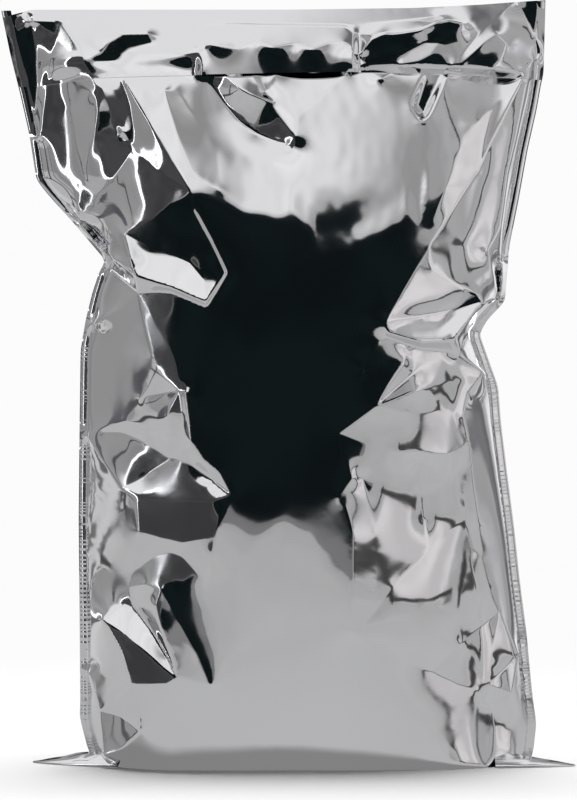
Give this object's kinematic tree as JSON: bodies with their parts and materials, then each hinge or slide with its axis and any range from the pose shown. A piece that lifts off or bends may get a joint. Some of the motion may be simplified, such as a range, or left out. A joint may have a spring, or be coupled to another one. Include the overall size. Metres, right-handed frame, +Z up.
{
  "type": "poly mailer bag",
  "caption": "Filled and sealed mailer bag of mirror-bright film, standing on its flattened base, with folds and a stuck-down lip.",
  "frame": {"origin": "centre of the bounding box's underside, on the ground", "axes": "+Z up from the flattened base to the folded top, -Y out of the front, which carries the stuck-down lip, +X to the right of a person facing the front"},
  "size_m": [0.3435, 0.1046, 0.4569],
  "materials": {
    "silver_film": "polished"
  },
  "bodies": {
    "root": {"mailer_bag": "silver_film"}
  },
  "joints": []
}
